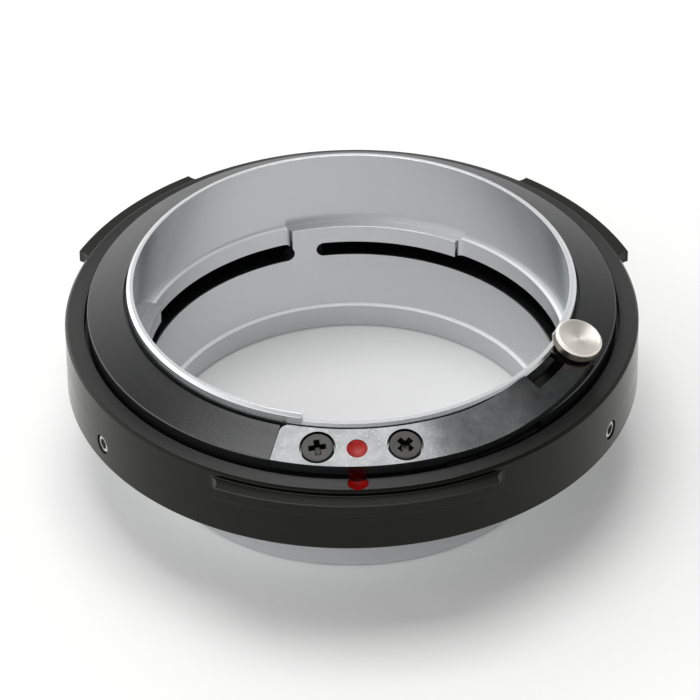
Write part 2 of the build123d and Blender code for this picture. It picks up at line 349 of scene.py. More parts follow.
def joined(meshes: Iterable[Mesh]) -> Mesh:
    """Put several meshes into one, and free them.

    Args:
        meshes: The meshes to use up.

    Returns:
        The joined mesh.
    """
    whole = bmesh.new()
    for mesh in meshes:
        carrier = bpy.data.meshes.new("carrier")
        mesh.to_mesh(carrier)
        mesh.free()
        whole.from_mesh(carrier)
        bpy.data.meshes.remove(carrier)
    return whole


def as_object(mesh: Mesh, name: str) -> Piece:
    """Make a linked object of a mesh, and free the mesh.

    Args:
        mesh: The mesh to use up.
        name: Name of the object and of its data.

    Returns:
        The new object, at the origin.
    """
    data = bpy.data.meshes.new(name)
    mesh.to_mesh(data)
    mesh.free()
    made = bpy.data.objects.new(name, data)
    bpy.context.scene.collection.objects.link(made)
    return made


class Cut(Enum):
    """What a cut leaves of the piece."""

    OUTSIDE = "DIFFERENCE"
    INSIDE = "INTERSECT"


def apply(target: Piece) -> None:
    """Make a piece's modifiers part of its mesh.

    Args:
        target: The piece.
    """
    graph = bpy.context.evaluated_depsgraph_get()
    result = bpy.data.meshes.new_from_object(target.evaluated_get(graph), preserve_all_data_layers=True,
                                             depsgraph=graph)
    target.modifiers.clear()
    spent = target.data
    target.data = result
    bpy.data.meshes.remove(spent)
    result.name = target.name


def cut(target: Piece, cutters: Sequence[Mesh], leave: Cut = Cut.OUTSIDE) -> None:
    """Take away what lies inside or outside some shapes.

    Args:
        target: The piece.
        cutters: Closed shapes, which may overlap each other.
        leave: The side of the shapes that stays.
    """
    tool = as_object(joined(cutters), "tool")
    modifier = target.modifiers.new("cut", "BOOLEAN")
    modifier.operation = leave.value
    modifier.solver = "EXACT"
    modifier.use_self = len(cutters) > 1
    modifier.object = tool
    apply(target)
    spent = tool.data
    bpy.data.objects.remove(tool)
    bpy.data.meshes.remove(spent)


def taken(piece: Piece) -> Mesh:
    """Take a helper object's mesh, and remove the object.

    Args:
        piece: The helper object.

    Returns:
        Its mesh.
    """
    mesh = bmesh.new()
    mesh.from_mesh(piece.data)
    data = piece.data
    bpy.data.objects.remove(piece)
    bpy.data.meshes.remove(data)
    return mesh


def mark(mesh: Mesh, wanted: Callable[[Face], bool], finish: int = 1) -> None:
    """Mark the faces that pass a test for one of a piece's further finishes.

    Args:
        mesh: The mesh.
        wanted: The test.
        finish: Number of the finish among the piece's finishes.
    """
    for face in mesh.faces:
        if wanted(face):
            face.material_index = finish


def marked(piece: Piece, wanted: Callable[[Face], bool], finish: int = 1) -> None:
    """Mark the faces of a finished piece in the same way.

    Args:
        piece: The piece.
        wanted: The test.
        finish: Number of the finish among the piece's finishes.
    """
    mesh = bmesh.new()
    mesh.from_mesh(piece.data)
    mark(mesh, wanted, finish)
    mesh.to_mesh(piece.data)
    mesh.free()


def soften(target: Piece, width: float, sharper_than: float = 38.0, segments: int = 2,
           merge: float = 0.012) -> None:
    """Break a piece's sharp edges.

    Args:
        target: The piece.
        width: Width of the broken edge in millimetres.
        sharper_than: Smallest angle between two faces that counts as sharp.
        segments: Segments of the broken edge.
        merge: Distance in millimetres under which points become one.
    """
    mesh = bmesh.new()
    mesh.from_mesh(target.data)
    bmesh.ops.remove_doubles(mesh, verts=mesh.verts[:], dist=merge * MM)
    bmesh.ops.dissolve_degenerate(mesh, edges=mesh.edges[:], dist=merge * MM)
    edges = [edge for edge in mesh.edges
             if edge.is_manifold and edge.calc_face_angle() > radians(sharper_than)]
    bevel(mesh, edges, width, segments, clamp=True)
    mesh.to_mesh(target.data)
    mesh.free()


def smooth(target: Piece, sharper_than: float = 34.0) -> None:
    """Shade a piece smooth, apart from its sharp edges, with normals weighted by face area.

    The weighing passes over faces of under a millionth, so it is done with millimetres as units.

    Args:
        target: The piece.
        sharper_than: Smallest angle between two faces that stays sharp.
    """
    target.data.shade_smooth()
    target.data.set_sharp_from_angle(angle=radians(sharper_than))
    target.data.transform(Matrix.Scale(1 / MM, 4))
    modifier = target.modifiers.new("even normals", "WEIGHTED_NORMAL")
    modifier.keep_sharp = True
    apply(target)
    target.data.transform(Matrix.Scale(MM, 4))


class Bench:
    """Short calls that place and join the nodes of one tree."""

    def __init__(self, tree: Tree) -> None:
        """Work on a tree."""
        self.tree = tree

    def feed(self, socket: Socket, value: object) -> None:
        """Join an input to a node's output, or give it a value.

        Args:
            socket: The input.
            value: An output socket, or the value itself.
        """
        if isinstance(value, Socket):
            self.tree.links.new(value, socket)
        else:
            socket.default_value = value

    def fill(self, node: Node, inputs: Inputs) -> None:
        """Feed several inputs of a node, by name or number."""
        for key, value in inputs.items():
            self.feed(node.inputs[key], value)

    def add(self, kind: str, inputs: Inputs | None = None, **settings: object) -> Node:
        """Place a node.

        Args:
            kind: Blender's name of the node's type.
            inputs: Values or output sockets, by input name or number.
            settings: Properties of the node.

        Returns:
            The node.
        """
        node = self.tree.nodes.new(kind)
        for name, value in settings.items():
            setattr(node, name, value)
        self.fill(node, inputs or {})
        return node

    def math(self, operation: str, *values: object) -> Socket:
        """Result of a math node."""
        return self.add("ShaderNodeMath", dict(enumerate(values)), operation=operation).outputs[0]

    def vector(self, operation: str, *values: object) -> Socket:
        """Result of a vector math node."""
        return self.add("ShaderNodeVectorMath", dict(enumerate(values)), operation=operation).outputs[0]

    def spread(self, value: object, span: Sector, to: Sector = UNIT) -> Socket:
        """Value moved from one range to another and held inside it."""
        return self.add("ShaderNodeMapRange", dict(enumerate((value, *span, *to)))).outputs[0]

    def noise(self, inputs: Inputs, **settings: object) -> Socket:
        """Height of a noise texture."""
        return self.add("ShaderNodeTexNoise", inputs, **settings).outputs[0]

    def scaled(self, position: Socket, size: Socket) -> Socket:
        """Position counted in steps of a size."""
        place = self.vector("SCALE", position)
        self.feed(place.node.inputs["Scale"], self.math("DIVIDE", 1.0, size))
        return place

    def blend(self, share: object, first: object, second: object) -> Socket:
        """Mix of two colours.

        Args:
            share: Share of the second colour.
            first: First colour.
            second: Second colour.

        Returns:
            The mixed colour's socket.
        """
        node = self.add("ShaderNodeMix", data_type="RGBA")
        sockets = {socket.identifier: socket for socket in node.inputs}
        for name, value in (("Factor_Float", share), ("A_Color", first), ("B_Color", second)):
            self.feed(sockets[name], value)
        return next(socket for socket in node.outputs if socket.identifier == "Result_Color")

    def group(self, tree: Tree, inputs: Inputs) -> bpy.types.NodeOutputs:
        """Place a node group, and give its outputs."""
        return self.add("ShaderNodeGroup", inputs, node_tree=tree).outputs


Wiring = Callable[[Bench, bpy.types.NodeOutputs], dict[str, Socket]]


class Effects:
    """Shader node groups that several finishes share."""

    @staticmethod
    def made(name: str, inputs: Sequence[str], outputs: Sequence[str], wire: Wiring) -> Tree:
        """Group with a position input, number inputs and number outputs, made once.

        Args:
            name: Name of the group.
            inputs: Names of its number inputs.
            outputs: Names of its number outputs.
            wire: Places the nodes after the inputs, and gives the socket for each output.

        Returns:
            The group.
        """
        found = bpy.data.node_groups.get(name)
        if found:
            return found
        tree = bpy.data.node_groups.new(name, "ShaderNodeTree")
        tree.interface.new_socket("Position", in_out="INPUT", socket_type="NodeSocketVector")
        for way, items in (("INPUT", inputs), ("OUTPUT", outputs)):
            for item in items:
                tree.interface.new_socket(item, in_out=way, socket_type="NodeSocketFloat")
        bench = Bench(tree)
        entry, leave = bench.add("NodeGroupInput"), bench.add("NodeGroupOutput")
        bench.fill(leave, wire(bench, entry.outputs))
        return tree

    @classmethod
    def turning(cls) -> Tree:
        """Marks that a lathe leaves round the axis: a fine height and a broader tone."""
        return cls.made("turning marks", ("Pitch", "Waver"), ("Height", "Tone"), cls.wire_turning)

    @classmethod
    def grain(cls) -> Tree:
        """Blasted grain: an uneven height and the few grains that catch the light."""
        return cls.made("blasted grain", ("Size",), ("Height", "Spark"), cls.wire_grain)

    @classmethod
    def dust(cls) -> Tree:
        """Scattered pale specks of dust."""
        return cls.made("dust specks", ("Spacing", "Share"), ("Mask",), cls.wire_dust)

    @staticmethod
    def wire_turning(bench: Bench, entry: bpy.types.NodeOutputs) -> dict[str, Socket]:
        """Place the nodes of the turning marks.

        Args:
            bench: Bench on the group.
            entry: The group's inputs.

        Returns:
            The sockets of its outputs.
        """
        position = entry["Position"]
        parts = bench.add("ShaderNodeSeparateXYZ", {0: position}).outputs
        squares = bench.math("ADD", bench.math("MULTIPLY", parts[0], parts[0]),
                             bench.math("MULTIPLY", parts[1], parts[1]))
        across = bench.math("ADD", bench.math("SQRT", squares), parts[2])
        wander = bench.noise({"Vector": position, "Scale": 180.0, "Detail": 1.0})
        shift = bench.math("MULTIPLY", wander, entry["Waver"])
        count = bench.math("DIVIDE", bench.math("ADD", across, shift), entry["Pitch"])
        fine = {"W": count, "Scale": 1.0, "Detail": 3.0, "Roughness": 0.7}
        broad = {"W": count, "Scale": 0.09, "Detail": 3.0, "Roughness": 0.6}
        return {"Height": bench.noise(fine, noise_dimensions="1D"),
                "Tone": bench.noise(broad, noise_dimensions="1D")}

    @staticmethod
    def wire_grain(bench: Bench, entry: bpy.types.NodeOutputs) -> dict[str, Socket]:
        """Place the nodes of the blasted grain.

        Args:
            bench: Bench on the group.
            entry: The group's inputs.

        Returns:
            The sockets of its outputs.
        """
        place = bench.scaled(entry["Position"], entry["Size"])
        height = bench.noise({"Vector": place, "Scale": 1.0, "Detail": 2.0, "Roughness": 0.65})
        cells = bench.add("ShaderNodeTexVoronoi", {"Vector": place, "Scale": 0.8}).outputs
        shade = bench.add("ShaderNodeSeparateColor", {0: cells["Color"]}).outputs[0]
        bright, near = (0.55, 1.0), (0.6, 0.15)
        spark = bench.math("MULTIPLY", bench.spread(shade, bright), bench.spread(cells["Distance"], near))
        return {"Height": height, "Spark": spark}

    @staticmethod
    def wire_dust(bench: Bench, entry: bpy.types.NodeOutputs) -> dict[str, Socket]:
        """Place the nodes of the dust.

        Args:
            bench: Bench on the group.
            entry: The group's inputs.

        Returns:
            The socket of its output.
        """
        place = bench.scaled(entry["Position"], entry["Spacing"])
        cells = bench.add("ShaderNodeTexVoronoi", {"Vector": place, "Scale": 1.0}).outputs
        parts = bench.add("ShaderNodeSeparateColor", {0: cells["Color"]}).outputs
        chosen = bench.math("LESS_THAN", parts[0], entry["Share"])
        growth, smallest = 0.07, 0.035
        reach = bench.math("MULTIPLY_ADD", parts[1], growth, smallest)
        spot = bench.math("LESS_THAN", cells["Distance"], reach)
        return {"Mask": bench.math("MULTIPLY", chosen, spot)}


def new_material(name: str) -> tuple[Material, Bench, Node, Socket]:
    """Start a material.

    Args:
        name: Name of the finish.

    Returns:
        The material, a bench on its tree, its shader and the object position socket.
    """
    material = bpy.data.materials.new(name)
    material.use_nodes = True
    bench = Bench(material.node_tree)
    material.node_tree.nodes.clear()
    shader = bench.add("ShaderNodeBsdfPrincipled")
    bench.add("ShaderNodeOutputMaterial", {"Surface": shader.outputs[0]})
    position = bench.add("ShaderNodeTexCoord").outputs["Object"]
    return material, bench, shader, position


def rgba(colour: Colour) -> tuple[float, float, float, float]:
    """Colour with full cover."""
    return (*colour, 1.0)


@dataclass(frozen=True)
class Finish:
    """A surface finish between a dark and a pale tone."""

    name: str
    dark: Colour
    pale: Colour

    def material(self) -> Material:
        """The finish as a material, made once.

        Returns:
            The material.
        """
        found = bpy.data.materials.get(self.name)
        if found:
            return found
        material, bench, shader, position = new_material(self.name)
        bench.fill(shader, self.inputs(bench, position))
        return material

    def tone(self, bench: Bench, share: Socket) -> Socket:
        """Colour between the two tones."""
        return bench.blend(share, rgba(self.dark), rgba(self.pale))

    def inputs(self, bench: Bench, position: Socket) -> Inputs:
        """Inputs of the shader, which each kind of finish gives."""
        raise NotImplementedError


@dataclass(frozen=True)
class TurnedFinish(Finish):
    """A lathe-turned metal surface, bare, plated or anodised."""

    metallic: float
    rough: Sector
    pitch: float
    relief: float
    grain: float
    grain_size: float
    anisotropy: float
    specular: float = 0.5
    waver: float = 0.00002
    tint: Colour = (1.0, 1.0, 1.0)
    dust_share: float = 0.0
    dust_colour: Colour = (0.45, 0.45, 0.44)
    centre: tuple[float, float, float] = (0.0, 0.0, 0.0)
    turn: tuple[float, float, float] = (0.0, 0.0, 0.0)

    def inputs(self, bench: Bench, position: Socket) -> Inputs:
        """Turning marks, grain and dust, with the gloss drawn out along the marks.

        Args:
            bench: Bench on the material's tree.
            position: Position on the piece.

        Returns:
            The shader's inputs.
        """
        mapping = {"Vector": position, "Location": self.centre, "Rotation": self.turn}
        spot = bench.add("ShaderNodeMapping", mapping, vector_type="TEXTURE").outputs[0]
        marks = bench.group(Effects.turning(), {"Position": spot, "Pitch": self.pitch, "Waver": self.waver})
        grain = bench.group(Effects.grain(), {"Position": spot, "Size": self.grain_size})
        colour = self.tone(bench, bench.spread(marks["Tone"], MIDDLE))
        rough = bench.spread(marks["Tone"], MIDDLE, self.rough)
        if self.dust_share:
            specks = {"Position": spot, "Spacing": DUST_SPACING, "Share": self.dust_share}
            dust = bench.group(Effects.dust(), specks)["Mask"]
            colour = bench.blend(dust, colour, rgba(self.dust_colour))
            rough = bench.math("MAXIMUM", rough, dust)
        height = bench.math("MULTIPLY_ADD", grain["Height"], self.grain, marks["Height"])
        relief = {"Height": height, "Strength": self.relief, "Distance": MARK_DEPTH}
        bump = bench.add("ShaderNodeBump", relief).outputs[0]
        axis = bench.add("ShaderNodeVectorRotate", {"Vector": (0.0, 0.0, 1.0), "Rotation": self.turn},
                         rotation_type="EULER_XYZ").outputs[0]
        arm = bench.vector("SUBTRACT", position, self.centre)
        around = bench.vector("NORMALIZE", bench.vector("CROSS_PRODUCT", axis, arm))
        return {"Base Color": colour, "Roughness": rough, "Normal": bump, "Tangent": around,
                "Metallic": self.metallic, "Anisotropic": self.anisotropy, "Anisotropic Rotation": ACROSS,
                "Specular IOR Level": self.specular, "Specular Tint": rgba(self.tint)}


@dataclass(frozen=True)
class BlastedFinish(Finish):
    """A finely blasted metal surface with grains that glint."""

    glint: Colour
    metallic: float
    rough: Sector
    grain_size: float
    relief: float
    specular: float = 0.5

    def inputs(self, bench: Bench, position: Socket) -> Inputs:
        """Broad patches with glinting grains.

        Args:
            bench: Bench on the material's tree.
            position: Position on the piece.

        Returns:
            The shader's inputs.
        """
        grain = bench.group(Effects.grain(), {"Position": position, "Size": self.grain_size})
        patches = bench.noise({"Vector": position, "Scale": 700.0, "Detail": 3.0})
        colour = self.tone(bench, bench.spread(patches, NEAR_MIDDLE))
        relief = {"Height": grain["Height"], "Strength": self.relief, "Distance": GRAIN_DEPTH}
        return {"Base Color": bench.blend(grain["Spark"], colour, rgba(self.glint)),
                "Roughness": bench.spread(grain["Height"], MIDDLE, self.rough),
                "Normal": bench.add("ShaderNodeBump", relief).outputs[0],
                "Metallic": self.metallic, "Specular IOR Level": self.specular}


@dataclass(frozen=True)
class PaintFinish(Finish):
    """Glossy paint with slightly uneven colour."""

    rough: Sector
    specular: float = 0.5
    relief: float = 0.12

    def inputs(self, bench: Bench, position: Socket) -> Inputs:
        """Colour, gloss and height from one noise.

        Args:
            bench: Bench on the material's tree.
            position: Position on the piece.

        Returns:
            The shader's inputs.
        """
        noise = bench.noise({"Vector": position, "Scale": 2200.0, "Detail": 3.0})
        relief = {"Height": noise, "Strength": self.relief, "Distance": GRAIN_DEPTH}
        return {"Base Color": self.tone(bench, bench.spread(noise, NEAR_MIDDLE)),
                "Roughness": bench.spread(noise, NEAR_MIDDLE, self.rough),
                "Normal": bench.add("ShaderNodeBump", relief).outputs[0],
                "Specular IOR Level": self.specular}


BLACK_FACE = TurnedFinish("black anodised face", dark=(0.003, 0.0032, 0.0034), pale=(0.006, 0.0062, 0.0065),
                          metallic=0.0, rough=(0.28, 0.35), pitch=0.00012, relief=0.3, grain=1.6,
                          grain_size=0.00026, anisotropy=0.35, specular=0.58, dust_share=0.004)
# Paler metallic black for the face ring's outer rim edge: a painted highlight along that edge.
PAINTED_HIGHLIGHT_RIM = replace(BLACK_FACE, name="black rim edge with painted highlight", dark=(0.09, 0.09, 0.088), pale=(0.15, 0.15, 0.146),
                    metallic=1.0, dust_share=0.0)
BLACK_RING = TurnedFinish("black anodised ring", dark=(0.0014, 0.0015, 0.0012), pale=(0.0028, 0.003, 0.0024),
                          metallic=0.0, rough=(0.13, 0.18), pitch=0.00012, relief=0.07, grain=1.4,
                          grain_size=0.0002, anisotropy=0.9, specular=0.34, tint=(1.0, 1.0, 0.94),
                          dust_share=0.006)
BLACK_TAB = replace(BLACK_RING, name="black milled tab", rough=(0.25, 0.33), specular=0.3)
BLACK_CROWN = replace(BLACK_RING, name="black turned crown", rough=(0.42, 0.54), specular=0.8, relief=0.4,
                      grain=1.8, grain_size=0.00022, tint=(1.0, 1.0, 1.0), dust_share=0.03)
SATIN_PLATE = TurnedFinish("satin plating", dark=(0.635, 0.65, 0.655), pale=(0.645, 0.66, 0.665),
                           metallic=1.0, rough=(0.25, 0.27), pitch=0.00012, relief=0.005, grain=0.6,
                           grain_size=0.0002, anisotropy=0.3)
# Near-white semi-diffuse finish for the tube's inner ledges: a painted highlight standing in for the lamp's
# reflection on their edges.
PAINTED_HIGHLIGHT_EDGE = replace(SATIN_PLATE, name="broken edge with painted highlight", dark=(0.94, 0.95, 0.95),
                      pale=(0.97, 0.98, 0.98), metallic=0.1, rough=(0.45, 0.55), anisotropy=0.0)
SPRING_STEEL = BlastedFinish("blasted spring steel", dark=(0.108, 0.111, 0.114), pale=(0.134, 0.136, 0.138),
                             glint=(0.16, 0.158, 0.153), metallic=1.0, rough=(0.21, 0.27), grain_size=0.00022,
                             relief=0.06)
BLACKED_STEEL = BlastedFinish("blackened screw steel", dark=(0.028, 0.027, 0.023), pale=(0.04, 0.0385, 0.034),
                              glint=(0.05, 0.048, 0.044), metallic=0.0, rough=(0.38, 0.5), grain_size=0.00012,
                              relief=0.15)
# Near-black finish for the screws' cross recesses: painted shade inside the recess.
PAINTED_SHADE_RECESS = replace(BLACKED_STEEL, name="screw recess with painted shade", dark=(0.002, 0.002, 0.0015),
                       pale=(0.004, 0.004, 0.003), specular=0.04)
GRUB_STEEL = BlastedFinish("bright grub steel", dark=(0.45, 0.45, 0.44), pale=(0.6, 0.6, 0.58),
                           glint=(0.9, 0.9, 0.88), metallic=1.0, rough=(0.2, 0.35), grain_size=0.00012,
                           relief=0.2)
RED_PAINT = PaintFinish("red index paint", dark=(0.27, 0.01, 0.008), pale=(0.35, 0.016, 0.013),
                        rough=(0.35, 0.45), specular=0.4)
DARK_RED_PAINT = PaintFinish("dark red index paint", dark=(0.17, 0.0, 0.0), pale=(0.22, 0.001, 0.001),
                             rough=(0.4, 0.5), specular=0.15)
# Very dark red on the ring dot's inner half and on its run up the leaf's side: painted shade.
SHADED_RED_PAINT = replace(DARK_RED_PAINT, name="red index paint with painted shade", dark=(0.03, 0.0, 0.001),
                         pale=(0.05, 0.0, 0.001), specular=0.05)


def dressed(piece: Piece, finishes: Sequence[Finish], slot: Slot, node: str | None = None) -> Piece:
    """Give a piece its finishes, hide the solid that it stands for, and shade it smooth.

    Args:
        piece: The piece.
        finishes: Its main finish, then those of the faces that were marked for a further one.
        slot: Not used.
        node: The solid that it replaces, if there is one.

    Returns:
        The piece.
    """
    for finish in finishes:
        piece.data.materials.append(finish.material())
    if node:
        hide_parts(node)
    smooth(piece)
    return piece


@dataclass
class OuterRing:
    """The clamped outer bayonet ring with its three tabs."""

    layout: Layout
    edge: float = 0.07
    tab_reach: float = 1.315
    tab_drop: float = 0.6
    tab_thickness: float = 1.15
    tab_cutter: float = 1.25
    tab_edge: float = 0.1
    tab_fillet: float = 0.14
    tab_root: float = 0.4
    chamfer: float = 0.22
    level: float = 0.95
    upright: float = 0.2
    crown: float = 13.85
    tab_break: float = 0.05
    ring_break: float = 0.04
    bore_round: float = 0.05
    crown_finish: int = 2
    steps_per_degree: int = 2
    tabs: tuple[Sector, ...] = ((242.7, 297.1), (20.4, 52.0), (122.8, 155.4))
    grub_radius: float = 0.87

    def tab(self, sector: Sector) -> Mesh:
        """One outward tab, whose ends a round cutter runs out to the wall.

        Args:
            sector: Angles of the tab's two tips.

        Returns:
            The closed mesh.
        """
        wall = self.layout.wall
        tip = wall + self.tab_reach
        cutter = wall + self.tab_cutter + self.layout.fit
        run_out = degrees(acos((tip ** 2 + cutter ** 2 - self.tab_cutter ** 2) / (2 * tip * cutter)))
        top = self.layout.ring_top - self.tab_drop
        bottom = top - self.tab_thickness
        root, hidden = wall - self.tab_root, wall - self.layout.fit
        crest = top + 2 * self.tab_fillet
        outline = [Corner(root, bottom), Corner(tip, bottom, self.tab_edge), Corner(tip, top, self.tab_edge),
                   Corner(hidden, top, self.tab_fillet), Corner(hidden, crest), Corner(root, crest)]
        start, end = sector[0] - run_out, sector[1] + run_out
        piece = as_object(turned(outline, (start, end), ceil(self.steps_per_degree * (end - start))), "tab")
        for angle in (start, end):
            upright = Matrix.Translation(polar(cutter, angle, 0.0))
            cut(piece, [rod(upright, self.tab_cutter, crest + OVERCUT, bottom - OVERCUT, FINE_SIDES)])
        soften(piece, self.tab_break)
        mesh = taken(piece)
        mark(mesh, lambda face: face.normal.z > self.level)
        mark(mesh, self.is_highlight_edge, self.crown_finish)
        return mesh

    def is_highlight_edge(self, face: Face) -> bool:
        """Whether a face of a tab lies on a broken edge or on a cutter's run-out.

        Args:
            face: The face.

        Returns:
            True on such a face.
        """
        if face.normal.z > self.level:
            return False
        if face.normal.z > self.upright:
            return True
        outward = face.calc_center_median()
        outward.z = 0.0
        return abs(face.normal.z) < self.upright and face.normal.dot(outward.normalized()) < self.level

    def is_crown(self, face: Face) -> bool:
        """Whether a face lies on the ring's flat top."""
        return face.normal.z > self.level and face.calc_center_median().z > self.crown * MM

    def build(self) -> Piece:
        """Turn the ring, drill it and add its tabs.

        Returns:
            The ring.
        """
        size = self.layout
        inside = size.seat_radius + size.fit
        outline = [Corner(size.ring_bore, size.seat_top),
                   Corner(size.ring_bore, size.ring_top, self.bore_round),
                   Corner(size.wall - self.chamfer, size.ring_top, self.ring_break),
                   Corner(size.wall, size.ring_top - self.chamfer, self.ring_break),
                   Corner(size.wall, size.ring_bottom, self.edge),
                   Corner(inside, size.ring_bottom, self.bore_round), Corner(inside, size.seat_top)]
        ring = as_object(turned(outline), "outer_bayonet_ring")
        cut(ring, [rod(radial(size.wall, angle, size.grub_height), self.grub_radius, OVERCUT, -3 * OVERCUT)
                   for angle in size.grub_angles])
        cut(ring, [rod(Matrix.Translation(polar(size.ring_dot_place, size.index_angle, size.ring_top)),
                       size.dot_radius, OVERCUT, -size.dot_depth)])
        soften(ring, self.ring_break)
        marked(ring, self.is_crown, self.crown_finish)
        whole = joined([taken(ring), *(self.tab(sector) for sector in self.tabs)])
        ring = as_object(whole, "outer_bayonet_ring")
        dressed(ring, (BLACK_RING, BLACK_TAB, BLACK_CROWN), Slot.BLACK_RING, "outer_ring")
        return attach(ring, Body.MAIN.value)


@dataclass
class FaceRing:
    """The black ring with the sloped face and the leaf's pocket."""

    layout: Layout
    lip_gap: float = 0.27
    gap_depth: float = 0.45
    land_top: float = 13.0
    skirt: float = 22.9
    pocket_gap: float = 0.05
    end_gap: float = 0.2
    groove: float = 0.9
    groove_margin: float = 0.15
    # Reach and tilt of the outer rim faces that get the painted highlight finish.
    rim_highlight_reach: float = 0.12
    rim_highlight_tilt: Sector = (0.25, 0.86)
    mouth_round: float = 0.05
    rim_round: float = 0.1
    foot_round: float = 0.08
    edge_break: float = 0.03
    root_steps: int = 102
    arm_steps: int = 66

    def is_highlight_edge(self, face: Face) -> bool:
        """Whether a face lies on the outer edge of the slope, which gets a painted highlight.

        Args:
            face: The face.

        Returns:
            True on that edge.
        """
        size = self.layout
        middle = face.calc_center_median() / MM
        at_edge = middle.xy.length > size.face - self.rim_highlight_reach and middle.z > size.face_top - self.rim_highlight_reach
        return at_edge and self.rim_highlight_tilt[0] < face.normal.z < self.rim_highlight_tilt[1]

    def build(self) -> Piece:
        """Turn the ring and mill the leaf's pocket.

        Returns:
            The ring.
        """
        size = self.layout
        bore = size.tube + size.fit
        mouth = size.tube + self.lip_gap
        land = size.ring_bore - size.fit
        shelf = size.cone(mouth) - self.gap_depth
        low, high = size.slot_bottom - self.groove_margin, size.slot_top + self.groove_margin
        outline = [Corner(bore, size.shoulder_top), Corner(bore, low), Corner(bore + self.groove, low),
                   Corner(bore + self.groove, high), Corner(bore, high), Corner(bore, shelf),
                   Corner(mouth, shelf), Corner(mouth, size.cone(mouth), self.mouth_round),
                   Corner(size.face, size.face_top, self.rim_round),
                   Corner(size.face, self.land_top), Corner(land, self.land_top), Corner(land, size.seat_top),
                   Corner(size.seat_radius, size.seat_top),
                   Corner(size.seat_radius, size.ring_bottom, self.foot_round),
                   Corner(self.skirt, size.ring_bottom), Corner(self.skirt, size.shoulder_top)]
        ring = as_object(turned(outline), "sloped_face_ring")
        depth = size.leaf_thickness + size.fit
        inside = bore - OVERCUT
        gap = degrees(self.pocket_gap / size.face)
        bottom, top = self.land_top - OVERCUT, size.cone(inside) + 2 * OVERCUT
        seat = size.seat(size.button_place, size.button_angle)
        tip = size.button_place - size.leaf_inner + self.end_gap
        pocket = size.layer(inside, size.face + OVERCUT, depth, -OVERCUT)
        cut(ring, [turned(pocket, (size.leaf_start - gap, size.taper_start), self.root_steps)])
        arm = as_object(turned(pocket, (size.taper_start, size.button_angle), self.arm_steps), "arm_pocket")
        cut(arm, [size.taper(size.fit, bottom, top)], Cut.INSIDE)
        cut(ring, [taken(arm)])
        cut(ring, [rod(seat, tip, OVERCUT, -depth)])
        soften(ring, self.edge_break)
        # The outer rim edge gets the paler finish, a painted highlight.
        marked(ring, self.is_highlight_edge)
        dressed(ring, (BLACK_FACE, PAINTED_HIGHLIGHT_RIM), Slot.BLACK_FACE, "face_ring")
        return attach(ring, Body.MAIN.value)


